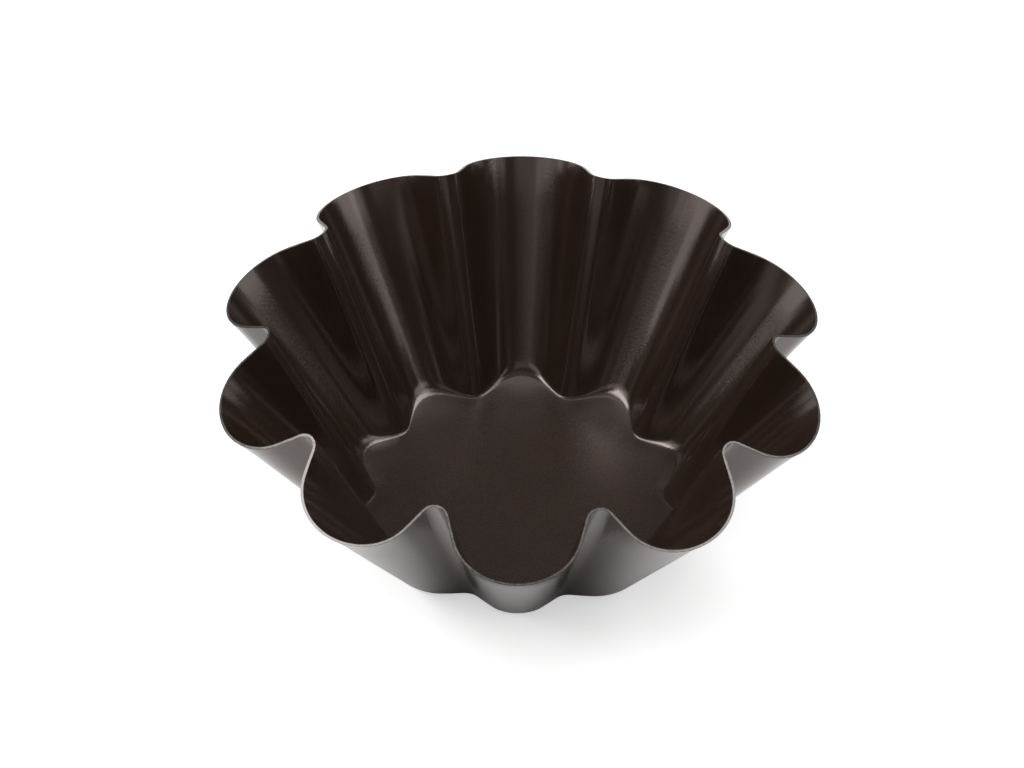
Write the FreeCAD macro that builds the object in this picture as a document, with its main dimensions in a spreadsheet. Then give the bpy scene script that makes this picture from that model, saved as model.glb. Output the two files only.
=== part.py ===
import FreeCAD, Part
import math
import os

import Sketcher

# A fluted brioche mould: one disc of steel sheet, coated on both faces and pressed into ten lobes.
# The frame has its origin in the middle of the underside, +Z up, and one lobe facing -Y.
# A crest is the outermost line of a lobe, and a ridge is the inward fold between two lobes.

SIZES = {
    # the flutes, measured on the outermost surface
    "flute_count": 10,
    "rim_crest_radius": 40.0,
    "rim_crest_height": 24.3,
    "rim_ridge_radius": 32.6,
    "rim_ridge_height": 28.9,
    "rim_crest_bend": 8.65,
    "rim_ridge_bend": 1.55,
    "floor_crest_radius": 21.9,
    "floor_ridge_radius": 19.3,
    "floor_crest_bend": 4.6,
    "floor_ridge_bend": 2.4,
    # the fold between floor and wall, measured on the innermost surface
    "floor_fold_bend": 1.5,
    # the sheet and its two coats
    "steel_thickness": 0.25,
    "outer_coat_thickness": 0.05,
    "inner_coat_thickness": 0.05,
    # how far the blank wall runs above the highest point of the sheared rim
    "trim_allowance": 0.6,
}

# spans of the smooth curve along half a flute
HALF_FLUTE_SPANS = 20

# how far from the floor plane one of its edges may lie, as a share of the steel's thickness
LEVEL_SHARE = 0.001

# turns the first lobe, drawn along +X, to face -Y
LOBE_TURN = FreeCAD.Rotation(FreeCAD.Vector(0, 0, 1), -90)

document = FreeCAD.newDocument("brioche_mould")
sheet = document.addObject("Spreadsheet::Sheet", "sizes")
for row, (alias, value) in enumerate(SIZES.items(), start=1):
    sheet.set(f"A{row}", alias)
    sheet.set(f"B{row}", str(value))
    sheet.setAlias(f"B{row}", alias)
document.recompute()

# Expressions over the sheet: run is how far a wall leans out per unit of height
CREST_RUN = "((sizes.rim_crest_radius - sizes.floor_crest_radius) / sizes.rim_crest_height)"
RIDGE_RUN = "((sizes.rim_ridge_radius - sizes.floor_ridge_radius) / sizes.rim_ridge_height)"
CREST_SLANT = f"sqrt(1 + {CREST_RUN} ^ 2)"
RIDGE_SLANT = f"sqrt(1 + {RIDGE_RUN} ^ 2)"
BLANK_HEIGHT = "(sizes.rim_ridge_height + sizes.trim_allowance)"
RIM_FALL = ("((sizes.rim_ridge_height - sizes.rim_crest_height)"
            " / (sizes.rim_crest_radius - sizes.rim_ridge_radius))")
RIM_APEX = f"(sizes.rim_crest_height + {RIM_FALL} * sizes.rim_crest_radius)"

# Depth of each surface below the outermost one, square to the sheet
OUTERMOST = "0"
STEEL_OUTSIDE = "sizes.outer_coat_thickness"
STEEL_INSIDE = "(sizes.outer_coat_thickness + sizes.steel_thickness)"
INNERMOST = "(sizes.outer_coat_thickness + sizes.steel_thickness + sizes.inner_coat_thickness)"


def floor_outline(depth):
    """Sizes of one flute where the wall at this depth meets the floor at this depth."""
    crest_inset = f"{depth} * ({CREST_SLANT} - {CREST_RUN})"
    ridge_inset = f"{depth} * ({RIDGE_SLANT} - {RIDGE_RUN})"
    return {
        "height": depth,
        "crest_radius": f"sizes.floor_crest_radius - {crest_inset}",
        "ridge_radius": f"sizes.floor_ridge_radius - {ridge_inset}",
        "crest_bend": f"sizes.floor_crest_bend - {crest_inset}",
        "ridge_bend": f"sizes.floor_ridge_bend + {ridge_inset}",
    }


def blank_outline(depth):
    """Sizes of one flute at the top of the wall at this depth, before the rim is sheared."""
    crest_inset = f"{depth} * {CREST_SLANT}"
    ridge_inset = f"{depth} * {RIDGE_SLANT}"
    return {
        "height": BLANK_HEIGHT,
        "crest_radius": f"sizes.floor_crest_radius + {CREST_RUN} * {BLANK_HEIGHT} - {crest_inset}",
        "ridge_radius": f"sizes.floor_ridge_radius + {RIDGE_RUN} * {BLANK_HEIGHT} - {ridge_inset}",
        "crest_bend": f"sizes.rim_crest_bend - {crest_inset}",
        "ridge_bend": f"sizes.rim_ridge_bend + {ridge_inset}",
    }


def value_of(expression):
    return float(sheet.evalExpression(expression))


def towards(angle, length):
    return FreeCAD.Vector(length * math.cos(angle), length * math.sin(angle), 0)


def mirrored(point):
    return FreeCAD.Vector(point.x, -point.y, 0)


def origin_feature(body, role):
    for feature in body.Origin.OriginFeatures:
        if feature.Role == role:
            return feature
    raise ValueError(role)


def attached_sketch(body, name, plane):
    """A sketch on one of the body's own origin planes."""
    sketch = body.newObject("Sketcher::SketchObject", name)
    sketch.AttachmentSupport = (origin_feature(body, plane), [""])
    sketch.MapMode = "FlatFace"
    return sketch


def dimension(sketch, name, constraint, expression):
    index = sketch.addConstraint(constraint)
    sketch.renameConstraint(index, name)
    sketch.setExpression(f"Constraints.{name}", expression)


# places on a sketch's edge, and the sketch's own origin and axes
START, END, CENTRE = 1, 2, 3
ORIGIN = X_AXIS = -1
Y_AXIS = -2


def half_flute_guides(sketch, outline):
    """Guides of a flute's left half: crest arc, straight flank, ridge arc and the side to the axis."""
    crest_radius = value_of(outline["crest_radius"])
    ridge_radius = value_of(outline["ridge_radius"])
    crest_bend = value_of(outline["crest_bend"])
    ridge_bend = value_of(outline["ridge_bend"])
    half_flute = math.pi / sheet.flute_count
    upward = FreeCAD.Vector(0, 0, 1)
    crest_centre = towards(0, crest_radius - crest_bend)
    ridge_centre = towards(half_flute, ridge_radius + ridge_bend)
    between = ridge_centre - crest_centre
    turn = math.atan2(between.y, between.x) - math.acos((crest_bend + ridge_bend) / between.Length)
    flank_start = crest_centre + towards(turn, crest_bend)
    flank_end = ridge_centre - towards(turn, ridge_bend)

    side = sketch.addGeometry(Part.LineSegment(FreeCAD.Vector(), towards(half_flute, ridge_radius)), False)
    crest, flank, ridge = sketch.addGeometry([
        Part.ArcOfCircle(Part.Circle(crest_centre, upward, crest_bend), 0, turn),
        Part.LineSegment(flank_start, flank_end),
        Part.ArcOfCircle(Part.Circle(ridge_centre, upward, ridge_bend), math.pi + half_flute, math.pi + turn),
    ], True)
    sketch.addConstraint([
        Sketcher.Constraint("Coincident", side, START, ORIGIN, START),
        Sketcher.Constraint("PointOnObject", crest, START, X_AXIS),
        Sketcher.Constraint("PointOnObject", crest, CENTRE, X_AXIS),
        Sketcher.Constraint("Tangent", crest, END, flank, START),
        Sketcher.Constraint("Tangent", flank, END, ridge, END),
        Sketcher.Constraint("Coincident", ridge, START, side, END),
        Sketcher.Constraint("PointOnObject", ridge, CENTRE, side),
    ])
    dimension(sketch, "half_flute", Sketcher.Constraint("Angle", side, half_flute),
              "180 deg / sizes.flute_count")
    dimension(sketch, "crest_radius",
              Sketcher.Constraint("DistanceX", ORIGIN, START, crest, START, crest_radius),
              outline["crest_radius"])
    dimension(sketch, "ridge_radius", Sketcher.Constraint("Distance", side, ridge_radius),
              outline["ridge_radius"])
    dimension(sketch, "crest_bend", Sketcher.Constraint("Radius", crest, crest_bend), outline["crest_bend"])
    dimension(sketch, "ridge_bend", Sketcher.Constraint("Radius", ridge, ridge_bend), outline["ridge_bend"])
    document.recompute()
    return side, crest, flank, ridge


def smooth_flute(crest, flank, ridge):
    """One smooth curve from ridge to ridge, in even steps along the guides and their mirror image."""
    half_flute = math.pi / sheet.flute_count
    half_length = crest.length() + flank.length() + ridge.length()

    def point_along(travel):
        if travel <= crest.length():
            return crest.value(crest.parameterAtDistance(travel, crest.FirstParameter))
        if travel <= crest.length() + flank.length():
            return flank.value(flank.parameterAtDistance(travel - crest.length(), flank.FirstParameter))
        return ridge.value(ridge.parameterAtDistance(half_length - travel, ridge.FirstParameter))

    left = [point_along(half_length * step / HALF_FLUTE_SPANS) for step in range(HALF_FLUTE_SPANS + 1)]
    right = [mirrored(point) for point in reversed(left[1:])]
    curve = Part.BSplineCurve()
    curve.interpolate(Points=right + left,
                      Parameters=[step / HALF_FLUTE_SPANS for step in range(2 * HALF_FLUTE_SPANS + 1)],
                      InitialTangent=towards(math.pi / 2 - half_flute, half_length),
                      FinalTangent=towards(math.pi / 2 + half_flute, half_length),
                      Scale=False)
    return curve


def flute_sketch(body, name, outline):
    """The plan of one flute, closed by two straight sides that meet on the axis."""
    sketch = attached_sketch(body, name, "XY_Plane")
    sketch.AttachmentOffset = FreeCAD.Placement(FreeCAD.Vector(), LOBE_TURN)
    sketch.setExpression("AttachmentOffset.Base.z", outline["height"])
    left_side, crest, flank, ridge = half_flute_guides(sketch, outline)
    curve = smooth_flute(sketch.Geometry[crest], sketch.Geometry[flank], sketch.Geometry[ridge])
    flute, right_side = sketch.addGeometry([
        curve,
        Part.LineSegment(FreeCAD.Vector(), curve.StartPoint),
    ], False)
    sketch.addConstraint([
        Sketcher.Constraint("Block", flute),
        Sketcher.Constraint("Coincident", right_side, START, ORIGIN, START),
        Sketcher.Constraint("Coincident", right_side, END, flute, START),
    ])
    return sketch


def fluted_loft(body, depth):
    """A straight-sided loft from floor to blank top over one flute, repeated round the axis."""
    floor_sketch = flute_sketch(body, f"{body.Name}_floor", floor_outline(depth))
    blank_sketch = flute_sketch(body, f"{body.Name}_blank", blank_outline(depth))
    document.recompute()
    loft = body.newObject("PartDesign::AdditiveLoft", f"{body.Name}_flute")
    loft.Profile = (floor_sketch, [""])
    loft.Sections = [(blank_sketch, [""])]
    loft.Ruled = True
    document.recompute()
    pattern = body.newObject("PartDesign::PolarPattern", f"{body.Name}_flutes")
    pattern.Originals = [loft]
    pattern.Axis = (origin_feature(body, "Z_Axis"), [""])
    pattern.Angle = 360
    pattern.setExpression("Occurrences", "sizes.flute_count")
    body.Tip = pattern
    document.recompute()
    return pattern


def rounded_fold(body, base, depth):
    """Rounds the edges in the floor plane at this depth, concentric with the innermost fold."""
    level = value_of(depth)
    slack = LEVEL_SHARE * sheet.steel_thickness
    floor_edges = []
    for index, edge in enumerate(base.Shape.Edges, start=1):
        box = edge.BoundBox
        if abs(box.ZMin - level) < slack and abs(box.ZMax - level) < slack:
            floor_edges.append(f"Edge{index}")
    fold = body.newObject("PartDesign::Fillet", f"{body.Name}_fold")
    fold.Base = (base, floor_edges)
    fold.setExpression("Radius", f"sizes.floor_fold_bend + {INNERMOST} - {depth}")
    body.Tip = fold
    document.recompute()


def sheared_rim(body):
    """Trims the wall along a cone through the crests and the higher ridges."""
    sketch = attached_sketch(body, f"{body.Name}_rim_cone", "XZ_Plane")
    apex = value_of(RIM_APEX)
    outer_radius = 2 * sheet.rim_crest_radius - sheet.rim_ridge_radius
    outer_height = 2 * sheet.rim_crest_height - sheet.rim_ridge_height
    corners = [
        FreeCAD.Vector(0, apex, 0),
        FreeCAD.Vector(outer_radius, outer_height, 0),
        FreeCAD.Vector(outer_radius, 2 * apex, 0),
        FreeCAD.Vector(0, 2 * apex, 0),
    ]
    slope, outer, top, axis = sketch.addGeometry([
        Part.LineSegment(corner, following) for corner, following in zip(corners, corners[1:] + corners[:1])
    ], False)
    sketch.addConstraint([
        Sketcher.Constraint("Coincident", slope, END, outer, START),
        Sketcher.Constraint("Coincident", outer, END, top, START),
        Sketcher.Constraint("Coincident", top, END, axis, START),
        Sketcher.Constraint("Coincident", axis, END, slope, START),
        Sketcher.Constraint("PointOnObject", axis, START, Y_AXIS),
        Sketcher.Constraint("PointOnObject", axis, END, Y_AXIS),
        Sketcher.Constraint("Vertical", outer),
        Sketcher.Constraint("Horizontal", top),
    ])
    dimension(sketch, "apex", Sketcher.Constraint("DistanceY", ORIGIN, START, slope, START, apex), RIM_APEX)
    dimension(sketch, "top", Sketcher.Constraint("DistanceY", ORIGIN, START, top, START, 2 * apex),
              f"2 * {RIM_APEX}")
    dimension(sketch, "outer_radius",
              Sketcher.Constraint("DistanceX", ORIGIN, START, slope, END, outer_radius),
              "2 * sizes.rim_crest_radius - sizes.rim_ridge_radius")
    dimension(sketch, "outer_height",
              Sketcher.Constraint("DistanceY", ORIGIN, START, slope, END, outer_height),
              "2 * sizes.rim_crest_height - sizes.rim_ridge_height")
    document.recompute()
    blank_volume = body.Shape.Volume
    trim = body.newObject("PartDesign::Groove", f"{body.Name}_rim")
    trim.Profile = sketch
    trim.ReferenceAxis = (sketch, ["V_Axis"])
    trim.Angle = 360
    body.Tip = trim
    document.recompute()
    if not body.Shape.Volume < blank_volume:
        raise RuntimeError(f"{body.Label}: the rim was not trimmed")


def filled_form(name, depth):
    """Everything inside the surface at this depth, filled up to the rim."""
    body = document.addObject("PartDesign::Body", name)
    flutes = fluted_loft(body, depth)
    rounded_fold(body, flutes, depth)
    sheared_rim(body)
    return body


def sheet_layer(label, outside_form, inside_form):
    """The layer of the pressed sheet between two surfaces."""
    layer = document.addObject("Part::Cut", label)
    layer.Label = label
    layer.Base = outside_form
    layer.Tool = inside_form
    return layer


outermost_form = filled_form("outermost_form", OUTERMOST)
steel_outside_form = filled_form("steel_outside_form", STEEL_OUTSIDE)
steel_inside_form = filled_form("steel_inside_form", STEEL_INSIDE)
innermost_form = filled_form("innermost_form", INNERMOST)
layers = [
    sheet_layer("outer_nonstick_coat", outermost_form, steel_outside_form),
    sheet_layer("pressed_steel_shell", steel_outside_form, steel_inside_form),
    sheet_layer("inner_nonstick_coat", steel_inside_form, innermost_form),
]
document.recompute()

# Checks before anything is written
for item in document.Objects:
    if "Invalid" in item.State or "Error" in item.State:
        raise RuntimeError(f"{item.Label}: {item.State}")
for layer in layers:
    shape = layer.Shape
    if shape.isNull() or not shape.isValid() or len(shape.Solids) != 1:
        raise RuntimeError(f"{layer.Label}: not one valid solid")
    between_forms = layer.Base.Shape.Volume - layer.Tool.Shape.Volume
    print(f"{layer.Label}: {shape.Volume:.2f} mm3, {between_forms:.2f} mm3 between its forms")

os.makedirs("parts", exist_ok=True)
for layer in layers:
    layer.Shape.exportStep(f"parts/{layer.Label}.step")
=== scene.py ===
import math

import bpy
import numpy as np
from mathutils import Matrix, Vector


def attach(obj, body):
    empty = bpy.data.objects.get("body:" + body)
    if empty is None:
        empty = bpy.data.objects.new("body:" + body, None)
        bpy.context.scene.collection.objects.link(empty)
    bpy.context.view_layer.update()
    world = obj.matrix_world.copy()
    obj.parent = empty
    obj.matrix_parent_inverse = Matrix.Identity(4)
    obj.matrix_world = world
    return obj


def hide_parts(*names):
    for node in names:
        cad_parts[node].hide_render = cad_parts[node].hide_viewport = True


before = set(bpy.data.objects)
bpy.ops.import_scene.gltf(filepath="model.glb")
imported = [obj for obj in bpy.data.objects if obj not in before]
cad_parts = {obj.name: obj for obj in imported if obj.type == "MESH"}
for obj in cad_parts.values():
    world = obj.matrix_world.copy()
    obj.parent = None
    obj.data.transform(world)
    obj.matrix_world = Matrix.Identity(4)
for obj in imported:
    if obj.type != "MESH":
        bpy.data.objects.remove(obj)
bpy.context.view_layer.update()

MM = 0.001

# Pressed sheet, measured on its outermost surface
FLUTES = 10
RIM_CREST_RADIUS = 40.0 * MM
RIM_CREST_HEIGHT = 24.3 * MM
RIM_RIDGE_RADIUS = 32.6 * MM
RIM_RIDGE_HEIGHT = 28.9 * MM
RIM_CREST_BEND = 8.65 * MM
RIM_RIDGE_BEND = 1.55 * MM
FLOOR_CREST_RADIUS = 21.9 * MM
FLOOR_RIDGE_RADIUS = 19.3 * MM
FLOOR_CREST_BEND = 4.6 * MM
FLOOR_RIDGE_BEND = 2.4 * MM
TRIM_ALLOWANCE = 0.6 * MM
BLANK_HEIGHT = RIM_RIDGE_HEIGHT + TRIM_ALLOWANCE

# Fold between floor and wall, by how far it reaches along each
CREST_FLOOR_REACH = 0.95 * MM
RIDGE_FLOOR_REACH = 0.3 * MM
CREST_WALL_REACH = 1.7 * MM
RIDGE_WALL_REACH = 0.5 * MM

# Power by which the fold narrows from crest to ridge
FOLD_TAPER = 1.5

# Lift of the floor into each lobe, and flare of the wall below the rim
DISH_TILT = math.radians(12)
DISH_SHARE = 0.25
RIM_FLARE = 0.25 * MM
FLARE_SHARE = 0.2

# Layers of the sheet
OUTER_COAT = 0.05 * MM
STEEL = 0.25 * MM
INNER_COAT = 0.05 * MM
STEEL_INSIDE = OUTER_COAT + STEEL
SHEET = STEEL_INSIDE + INNER_COAT

# Slopes of the wall at crest and ridge, and of the cone that trims the rim
CREST_RUN = (RIM_CREST_RADIUS - FLOOR_CREST_RADIUS) / RIM_CREST_HEIGHT
RIDGE_RUN = (RIM_RIDGE_RADIUS - FLOOR_RIDGE_RADIUS) / RIM_RIDGE_HEIGHT
CREST_SLANT = math.hypot(1, CREST_RUN)
RIDGE_SLANT = math.hypot(1, RIDGE_RUN)
RIM_FALL = (RIM_RIDGE_HEIGHT - RIM_CREST_HEIGHT) / (RIM_CREST_RADIUS - RIM_RIDGE_RADIUS)

# Mesh steps along half a flute, across the floor, round the fold and up the wall
HALF_FLUTE_STEPS = 24
FLOOR_STEPS = 24
FOLD_STEPS = 20
WALL_STEPS = 40

# Newton steps that bring the rim onto its cone
RIM_PASSES = 8

# Middle part of a noise, which carries its contrast
NOISE_LOW_SHARE = 0.3
NOISE_HIGH_SHARE = 0.7

# Non-stick film
COAT_DARK = (0.0178, 0.0102, 0.0069)
COAT_LIGHT = (0.0208, 0.0121, 0.0084)
COAT_CLOUDS = 9.0 * MM
COAT_CLOUDS_DETAIL = 3.0
COAT_ROUGHNESS = (0.14, 0.19)
COAT_GRAIN = 0.22 * MM
COAT_GRAIN_DETAIL = 1.0
COAT_GRAIN_DEPTH = 0.012 * MM
COAT_WAVES = 1.6 * MM
COAT_WAVES_DETAIL = 2.0
COAT_WAVES_DEPTH = 0.004 * MM
COAT_IOR = 1.72
COAT_SHEEN = (1.0, 0.85, 0.79)

# Extra roughness of the film on the floor, and the heights between which it fades
FLOOR_DULLING = 0.09
FLOOR_DULL_TO = 0.45 * MM
WALL_GLOSS_FROM = 0.9 * MM

# Bare steel of the rim
STEEL_DARK = (0.11, 0.106, 0.10)
STEEL_LIGHT = (0.22, 0.214, 0.205)
STEEL_ROUGHNESS = (0.32, 0.48)
STEEL_SCORES = 0.3 * MM
STEEL_SCORES_DETAIL = 3.0
STEEL_SCORES_DEPTH = 0.01 * MM

# Camera: angles in radians, focal length and centre in pixels of the image
CAMERA_PITCH = 0.7759
CAMERA_DISTANCE = 786.6 * MM
CAMERA_TARGET_HEIGHT = 15.2 * MM
CAMERA_ROLL = 0.0131
CAMERA_TURN = 0.0057
FOCAL_PIXELS = 6034.5
CENTRE_X = 520.2
CENTRE_Y = 413.4
IMAGE_WIDTH = 1024
IMAGE_HEIGHT = 768
SENSOR = 36.0

# White floor: its glow to the eye and in reflections; in reflections the glow fades to a painted shadow
# under the mould
FLOOR_HALF_WIDTH = 4000.0 * MM
FLOOR_WHITE = (0.9, 0.9, 0.9)
EYE_GLOW = 0.5
MIRRORED_GLOW = 0.53
PAINTED_SHADE_EDGE = 20.5 * MM
GLOW_EDGE = 32.0 * MM

# Light from all around
WORLD_LEVEL = 0.09

# Softboxes: azimuth, elevation, spread and rise in degrees, radiance, and roll in degrees
LAMP_DISTANCE = 1300.0 * MM
LAMPS = {
    "left_key": (-82, 47, 40, 20, 7.2, 4),
    "left_side": (-86, 25, 36, 22, 1.65, 9),
    "left_mid": (-56.5, 30.8, 18, 13, 1.05, 19),
    "left_front": (-37, 34, 19, 12, 1.05, 4),
    "left_low": (-88, 2.5, 46, 11, 1.25, -8),
    "right_key": (76, 51, 20, 18, 2.4, 0),
    "right_side": (83, 28.5, 41, 22, 1.7, -12),
    "right_mid": (56, 32.4, 20, 10, 1.25, -9),
    "right_back": (114, 56, 30, 22, 5.2, 0),
    "right_low": (93, 4.5, 36, 10, 0.9, 4),
    "front_low": (-25, 12, 66, 13, 0.38, 2),
    "front_top": (-5, 39, 40, 18, 0.42, 15),
    "front_high": (-1, 74, 54, 26, 0.25, 0),
    "back_top": (187, 73.5, 60, 32, 1.0, 0),
}


def towards(angle, length):
    return np.stack([length * np.cos(angle), length * np.sin(angle)], axis=-1)


def unit(vectors):
    return vectors / np.linalg.norm(vectors, axis=1, keepdims=True)


def with_height(plan, height):
    return np.column_stack([plan, np.full(len(plan), height)])


def half_flute(crest_radius, ridge_radius, crest_bend, ridge_bend):
    """Plan points from crest to ridge in even steps along a crest arc, a flank and a ridge arc."""
    half = math.pi / FLUTES
    crest_centre = towards(0.0, crest_radius - crest_bend)
    ridge_centre = towards(half, ridge_radius + ridge_bend)
    between = ridge_centre - crest_centre
    lean = math.acos((crest_bend + ridge_bend) / np.linalg.norm(between))
    turn = math.atan2(between[1], between[0]) - lean
    flank_start = crest_centre + towards(turn, crest_bend)
    flank_end = ridge_centre - towards(turn, ridge_bend)
    crest_length = crest_bend * turn
    flank_length = np.linalg.norm(flank_end - flank_start)
    total = crest_length + flank_length + ridge_bend * (turn - half)
    travel = np.linspace(0, total, HALF_FLUTE_STEPS + 1)[:, None]
    on_crest = crest_centre + towards(travel[:, 0] / crest_bend, crest_bend)
    on_flank = flank_start + (flank_end - flank_start) * (travel - crest_length) / flank_length
    on_ridge = ridge_centre - towards(half + (total - travel[:, 0]) / ridge_bend, ridge_bend)
    return np.where(travel <= crest_length, on_crest,
                    np.where(travel <= crest_length + flank_length, on_flank, on_ridge))


def outline(crest_radius, ridge_radius, crest_bend, ridge_bend):
    """The closed plan of all flutes, with the first crest facing -Y."""
    left = half_flute(crest_radius, ridge_radius, crest_bend, ridge_bend)
    right = left[:0:-1] * [1, -1]
    flute = np.concatenate([right, left[:-1]])
    flutes = []
    for index in range(FLUTES):
        turn = 2 * math.pi * index / FLUTES - math.pi / 2
        rotation = np.array([[math.cos(turn), math.sin(turn)], [-math.sin(turn), math.cos(turn)]])
        flutes.append(flute @ rotation)
    return np.concatenate(flutes)


def wall_lines(depth):
    """The floor's sharp corner and the straight lines up the wall, at this depth in the sheet."""
    crest_inset = depth * (CREST_SLANT - CREST_RUN)
    ridge_inset = depth * (RIDGE_SLANT - RIDGE_RUN)
    corner = with_height(outline(FLOOR_CREST_RADIUS - crest_inset, FLOOR_RIDGE_RADIUS - ridge_inset,
                                 FLOOR_CREST_BEND - crest_inset, FLOOR_RIDGE_BEND + ridge_inset), depth)
    blank = with_height(outline(FLOOR_CREST_RADIUS + CREST_RUN * BLANK_HEIGHT - depth * CREST_SLANT,
                                FLOOR_RIDGE_RADIUS + RIDGE_RUN * BLANK_HEIGHT - depth * RIDGE_SLANT,
                                RIM_CREST_BEND - depth * CREST_SLANT,
                                RIM_RIDGE_BEND + depth * RIDGE_SLANT), BLANK_HEIGHT)
    return corner, blank - corner


def rim_line(corner, ruling):
    """Where the wall meets the cone through the crests and the higher ridges."""
    share = np.full((len(corner), 1), RIM_CREST_HEIGHT / BLANK_HEIGHT)
    for _ in range(RIM_PASSES):
        rim = corner + ruling * share
        rim_radius = np.linalg.norm(rim[:, :2], axis=1)
        excess = rim[:, 2] - RIM_CREST_HEIGHT - RIM_FALL * (RIM_CREST_RADIUS - rim_radius)
        growth = np.sum(rim[:, :2] * ruling[:, :2], axis=1) / rim_radius
        share -= (excess / (ruling[:, 2] + RIM_FALL * growth))[:, None]
    return corner + ruling * share


def fold_lines(corner, ruling, along, depth):
    """Start, corner and end of the fold, which lifts a little into each lobe and is more open there."""
    phase = np.arange(len(corner)) * math.pi / HALF_FLUTE_STEPS
    crest_share = 0.5 - 0.5 * np.cos(phase)
    tilt = DISH_TILT * crest_share
    inward = np.column_stack([-along[:, 1] * np.cos(tilt), along[:, 0] * np.cos(tilt), -np.sin(tilt)])
    wall = unit(ruling)
    square = unit(wall - along * np.sum(wall * along, axis=1, keepdims=True))
    wall = wall / np.sum(wall * square, axis=1, keepdims=True)
    # the outside of the sheet bends more widely than its inside
    opening = np.arccos(np.sum(inward * square, axis=1))
    rounding = (SHEET - depth) / np.tan(opening / 2)
    open_share = crest_share ** FOLD_TAPER
    floor_reach = RIDGE_FLOOR_REACH + (CREST_FLOOR_REACH - RIDGE_FLOOR_REACH) * open_share + rounding
    wall_reach = RIDGE_WALL_REACH + (CREST_WALL_REACH - RIDGE_WALL_REACH) * open_share + rounding
    dish_length = DISH_SHARE * (np.linalg.norm(corner[:, :2], axis=1) - floor_reach)
    lift = np.tan(tilt) * dish_length / 2 + np.sin(tilt) * floor_reach
    fold_corner = corner + ruling * (lift / ruling[:, 2])[:, None]
    fold_start = fold_corner + inward * floor_reach[:, None]
    fold_end = fold_corner + wall * wall_reach[:, None]
    return fold_start, fold_corner, fold_end


def floor_rows(fold_start, depth):
    """Flat out to the dish, which lifts to where the fold starts."""
    rows = []
    for step in range(1, FLOOR_STEPS + 1):
        out_share = step / FLOOR_STEPS
        dish_share = max(0.0, 1 - (1 - out_share) / DISH_SHARE) ** 2
        rows.append(fold_start * [out_share, out_share, dish_share] + [0, 0, depth * (1 - dish_share)])
    return rows


def fold_rows(fold_start, fold_corner, fold_end):
    """A smooth curve from floor to wall, drawn towards their sharp corner."""
    rows = []
    for step in range(1, FOLD_STEPS + 1):
        turn_share = step / FOLD_STEPS
        near_corner = fold_corner * 2 * turn_share * (1 - turn_share)
        rows.append(fold_start * (1 - turn_share) ** 2 + near_corner + fold_end * turn_share ** 2)
    return rows


def wall_rows(fold_end, rim, outward):
    """Straight up from the fold, with a slight flare below the rim."""
    rows = []
    for step in range(1, WALL_STEPS + 1):
        up_share = step / WALL_STEPS
        flare_share = max(0.0, 1 - (1 - up_share) / FLARE_SHARE) ** 2 - up_share
        rows.append(fold_end + (rim - fold_end) * up_share + outward * RIM_FLARE * flare_share)
    return rows


def skin(depth):
    """Rows of points from near the axis to the rim, on the surface at this depth in the sheet."""
    corner, ruling = wall_lines(depth)
    along = unit(np.roll(corner, -1, axis=0) - np.roll(corner, 1, axis=0))
    outward = np.column_stack([along[:, 1], -along[:, 0], np.zeros(len(along))])
    fold_start, fold_corner, fold_end = fold_lines(corner, ruling, along, depth)
    rim = rim_line(corner, ruling)
    rows = floor_rows(fold_start, depth)
    rows += fold_rows(fold_start, fold_corner, fold_end)
    rows += wall_rows(fold_end, rim, outward)
    return rows


def layer_mesh(name, outside_depth, inside_depth):
    """A closed thin layer of the sheet, with a crisp sheared edge along the rim."""
    around = 2 * HALF_FLUTE_STEPS * FLUTES
    vertices = []
    faces = []

    def add_skin(depth, flipped):
        rows = skin(depth)
        start = sum(len(block) for block in vertices)
        vertices.append(np.array([[0.0, 0.0, depth]]))
        vertices.extend(rows)
        first = start + 1
        for column in range(around):
            following = (column + 1) % around
            wedge = [start, first + following, first + column]
            faces.append(wedge[::-1] if flipped else wedge)
            for row in range(len(rows) - 1):
                low = first + row * around
                high = low + around
                quad = [low + column, low + following, high + following, high + column]
                faces.append(quad[::-1] if flipped else quad)
        return rows[-1]

    outside_rim = add_skin(outside_depth, False)
    inside_rim = add_skin(inside_depth, True)
    outside = sum(len(block) for block in vertices)
    inside = outside + around
    vertices.extend([outside_rim, inside_rim])
    for column in range(around):
        following = (column + 1) % around
        faces.append([outside + column, outside + following, inside + following, inside + column])
    mesh = bpy.data.meshes.new(name)
    mesh.from_pydata(np.concatenate(vertices).tolist(), [], faces)
    mesh.shade_smooth()
    piece = bpy.data.objects.new(name, mesh)
    bpy.context.scene.collection.objects.link(piece)
    return piece


def layer(node, material, outside_depth, inside_depth):
    """One layer of the sheet, in place of its CAD node."""
    piece = layer_mesh(node + "_fine", outside_depth, inside_depth)
    piece.data.materials.append(material)
    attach(piece, "root")
    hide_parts(node)


def outer_nonstick_coat():
    layer("outer_nonstick_coat", coat_material("outer_coat"), 0.0, OUTER_COAT)


def pressed_steel_shell():
    layer("pressed_steel_shell", steel_material("bare_steel"), OUTER_COAT, STEEL_INSIDE)


def inner_nonstick_coat():
    layer("inner_nonstick_coat", coat_material("inner_coat"), STEEL_INSIDE, SHEET)


def place_in_frame(material):
    return material.node_tree.nodes.new("ShaderNodeTexCoord").outputs["Object"]


def noise(material, size, detail):
    """Noise with grains of this size, in the frame of the mould."""
    grain = material.node_tree.nodes.new("ShaderNodeTexNoise")
    grain.inputs["Scale"].default_value = 1 / size
    grain.inputs["Detail"].default_value = detail
    material.node_tree.links.new(place_in_frame(material), grain.inputs["Vector"])
    return grain.outputs["Fac"]


def ranged(material, value, start, end, at_start, at_end, blend="LINEAR"):
    """Maps a value between two ends, and holds it beyond them."""
    mapping = material.node_tree.nodes.new("ShaderNodeMapRange")
    mapping.interpolation_type = blend
    mapping.inputs["From Min"].default_value = start
    mapping.inputs["From Max"].default_value = end
    mapping.inputs["To Min"].default_value = at_start
    mapping.inputs["To Max"].default_value = at_end
    material.node_tree.links.new(value, mapping.inputs["Value"])
    return mapping.outputs["Result"]


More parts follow.
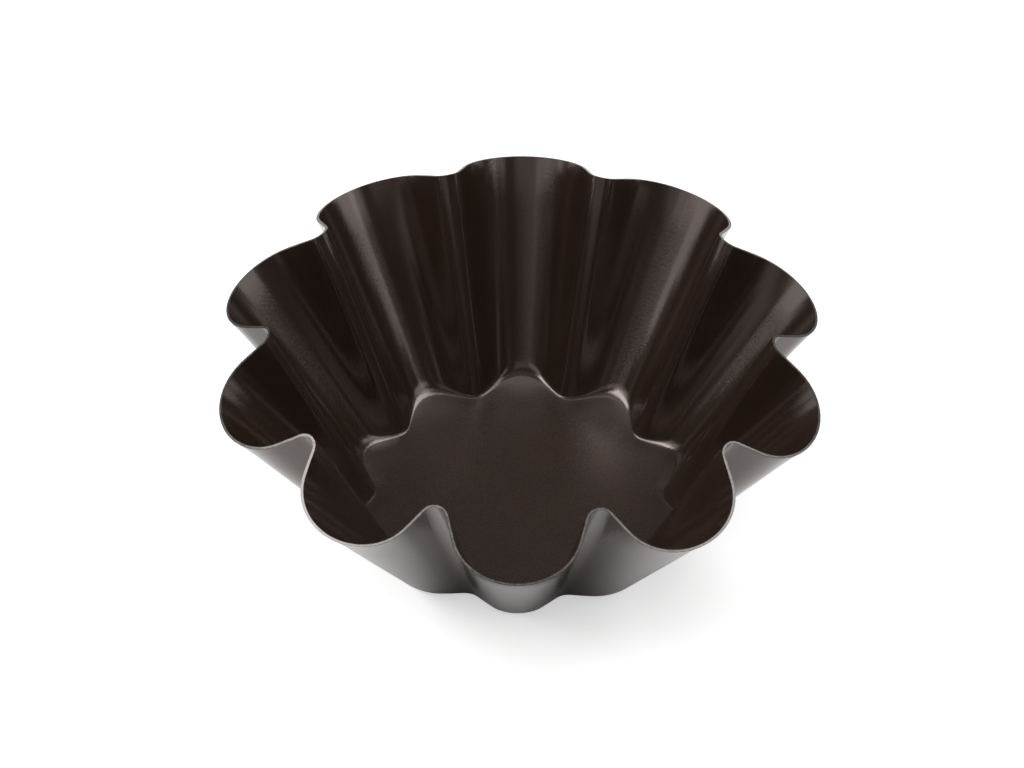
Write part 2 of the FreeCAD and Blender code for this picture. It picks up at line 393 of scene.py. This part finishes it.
def combined(material, operation, first, second):
    node = material.node_tree.nodes.new("ShaderNodeMath")
    node.operation = operation
    material.node_tree.links.new(first, node.inputs[0])
    material.node_tree.links.new(second, node.inputs[1])
    return node.outputs["Value"]


def blended(material, factor, dark, light):
    ramp = material.node_tree.nodes.new("ShaderNodeValToRGB")
    ramp.color_ramp.elements[0].position = NOISE_LOW_SHARE
    ramp.color_ramp.elements[0].color = (*dark, 1)
    ramp.color_ramp.elements[1].position = NOISE_HIGH_SHARE
    ramp.color_ramp.elements[1].color = (*light, 1)
    material.node_tree.links.new(factor, ramp.inputs["Fac"])
    return ramp.outputs["Color"]


def bumped(material, height, depth, below=None):
    bump = material.node_tree.nodes.new("ShaderNodeBump")
    bump.inputs["Strength"].default_value = 1
    bump.inputs["Distance"].default_value = depth
    material.node_tree.links.new(height, bump.inputs["Height"])
    if below is not None:
        material.node_tree.links.new(below, bump.inputs["Normal"])
    return bump.outputs["Normal"]


def floor_dulling(material):
    """Extra roughness on the floor, which is more matt than the drawn walls."""
    parts = material.node_tree.nodes.new("ShaderNodeSeparateXYZ")
    material.node_tree.links.new(place_in_frame(material), parts.inputs["Vector"])
    return ranged(material, parts.outputs["Z"], FLOOR_DULL_TO, WALL_GLOSS_FROM, FLOOR_DULLING, 0.0)


def new_material(name):
    material = bpy.data.materials.new(name)
    material.use_nodes = True
    return material, material.node_tree.nodes["Principled BSDF"]


def coat_material(name):
    """Baked non-stick film: warm brown-black, semi-gloss, with a fine sprayed grain."""
    material, shader = new_material(name)
    links = material.node_tree.links
    clouds = noise(material, COAT_CLOUDS, COAT_CLOUDS_DETAIL)
    grain = noise(material, COAT_GRAIN, COAT_GRAIN_DETAIL)
    waves = noise(material, COAT_WAVES, COAT_WAVES_DETAIL)
    gloss = ranged(material, grain, NOISE_LOW_SHARE, NOISE_HIGH_SHARE, *COAT_ROUGHNESS)
    roughness = combined(material, "ADD", gloss, floor_dulling(material))
    normal = bumped(material, grain, COAT_GRAIN_DEPTH, bumped(material, waves, COAT_WAVES_DEPTH))
    links.new(blended(material, clouds, COAT_DARK, COAT_LIGHT), shader.inputs["Base Color"])
    links.new(roughness, shader.inputs["Roughness"])
    links.new(normal, shader.inputs["Normal"])
    shader.inputs["IOR"].default_value = COAT_IOR
    shader.inputs["Specular Tint"].default_value = (*COAT_SHEEN, 1)
    return material


def steel_material(name):
    """Bare sheared edge of cold-rolled sheet, dulled and finely scored."""
    material, shader = new_material(name)
    links = material.node_tree.links
    scores = noise(material, STEEL_SCORES, STEEL_SCORES_DETAIL)
    roughness = ranged(material, scores, NOISE_LOW_SHARE, NOISE_HIGH_SHARE, *STEEL_ROUGHNESS)
    links.new(blended(material, scores, STEEL_DARK, STEEL_LIGHT), shader.inputs["Base Color"])
    links.new(roughness, shader.inputs["Roughness"])
    links.new(bumped(material, scores, STEEL_SCORES_DEPTH), shader.inputs["Normal"])
    shader.inputs["Metallic"].default_value = 1
    return material


def floor_glow(material):
    """White to the eye and in reflections; in reflections it fades to a painted shadow under the mould."""
    nodes = material.node_tree.nodes
    links = material.node_tree.links
    rays = nodes.new("ShaderNodeLightPath")
    glossy = rays.outputs["Is Glossy Ray"]
    transmitted = rays.outputs["Is Transmission Ray"]
    mirrored = combined(material, "MAXIMUM", glossy, transmitted)
    length = nodes.new("ShaderNodeVectorMath")
    length.operation = "LENGTH"
    links.new(place_in_frame(material), length.inputs[0])
    radius = length.outputs["Value"]
    # painted shadow: the glow seen in reflections is zero under the mould and rises to full past its flare
    clear = ranged(material, radius, PAINTED_SHADE_EDGE, GLOW_EDGE, 0.0, MIRRORED_GLOW, "SMOOTHSTEP")
    level = nodes.new("ShaderNodeMath")
    level.operation = "MULTIPLY_ADD"
    level.inputs[1].default_value = EYE_GLOW
    links.new(rays.outputs["Is Camera Ray"], level.inputs[0])
    links.new(combined(material, "MULTIPLY", mirrored, clear), level.inputs[2])
    glow = nodes.new("ShaderNodeEmission")
    links.new(level.outputs["Value"], glow.inputs["Strength"])
    return glow.outputs["Emission"]


def floor_material(name):
    """Matt white that keeps a pale shadow."""
    material = bpy.data.materials.new(name)
    material.use_nodes = True
    nodes = material.node_tree.nodes
    links = material.node_tree.links
    nodes.clear()
    diffuse = nodes.new("ShaderNodeBsdfDiffuse")
    diffuse.inputs["Color"].default_value = (*FLOOR_WHITE, 1)
    added = nodes.new("ShaderNodeAddShader")
    output = nodes.new("ShaderNodeOutputMaterial")
    links.new(diffuse.outputs["BSDF"], added.inputs[0])
    links.new(floor_glow(material), added.inputs[1])
    links.new(added.outputs["Shader"], output.inputs["Surface"])
    return material


def white_floor():
    side = FLOOR_HALF_WIDTH
    mesh = bpy.data.meshes.new("floor")
    corners = [(-side, -side, 0), (side, -side, 0), (side, side, 0), (-side, side, 0)]
    mesh.from_pydata(corners, [], [(0, 1, 2, 3)])
    mesh.materials.append(floor_material("white_floor"))
    floor = bpy.data.objects.new("floor", mesh)
    bpy.context.scene.collection.objects.link(floor)


def surroundings():
    world = bpy.data.worlds.new("world")
    world.use_nodes = True
    background = world.node_tree.nodes["Background"]
    background.inputs["Color"].default_value = (1, 1, 1, 1)
    background.inputs["Strength"].default_value = WORLD_LEVEL
    bpy.context.scene.world = world


def softbox(name, azimuth, elevation, spread, rise, radiance, roll):
    """A lit panel that faces the mould; azimuth 0 is the camera's side and grows to the right."""
    lamp = bpy.data.lights.new(name, "AREA")
    lamp.shape = "RECTANGLE"
    lamp.size = 2 * LAMP_DISTANCE * math.tan(math.radians(spread / 2))
    lamp.size_y = 2 * LAMP_DISTANCE * math.tan(math.radians(rise / 2))
    lamp.energy = radiance * math.pi * lamp.size * lamp.size_y
    side = math.radians(azimuth)
    lift = math.radians(elevation)
    direction = Vector((math.sin(side) * math.cos(lift), -math.cos(side) * math.cos(lift), math.sin(lift)))
    facing = direction.to_track_quat("Z", "Y").to_matrix()
    panel = bpy.data.objects.new(name, lamp)
    panel.location = direction * LAMP_DISTANCE
    panel.rotation_euler = (facing @ Matrix.Rotation(math.radians(roll), 3, "Z")).to_euler()
    bpy.context.scene.collection.objects.link(panel)


def photo_camera():
    camera_data = bpy.data.cameras.new("camera")
    camera_data.sensor_width = SENSOR
    camera_data.lens = FOCAL_PIXELS / IMAGE_WIDTH * SENSOR
    camera_data.shift_x = -(CENTRE_X - IMAGE_WIDTH / 2) / IMAGE_WIDTH
    camera_data.shift_y = (CENTRE_Y - IMAGE_HEIGHT / 2) / IMAGE_WIDTH
    camera = bpy.data.objects.new("camera", camera_data)
    lifted = Matrix.Translation((0, 0, CAMERA_TARGET_HEIGHT))
    turned = Matrix.Rotation(CAMERA_TURN, 4, "Z")
    tilted = Matrix.Rotation(math.pi / 2 - CAMERA_PITCH, 4, "X")
    rolled = Matrix.Rotation(CAMERA_ROLL, 4, "Z")
    backed = Matrix.Translation((0, 0, CAMERA_DISTANCE))
    camera.matrix_world = lifted @ turned @ tilted @ rolled @ backed
    bpy.context.scene.collection.objects.link(camera)
    bpy.context.scene.camera = camera
    bpy.context.scene.view_settings.view_transform = "Standard"


outer_nonstick_coat()
pressed_steel_shell()
inner_nonstick_coat()
photo_camera()
white_floor()
surroundings()
for name, setting in LAMPS.items():
    softbox(name, *setting)
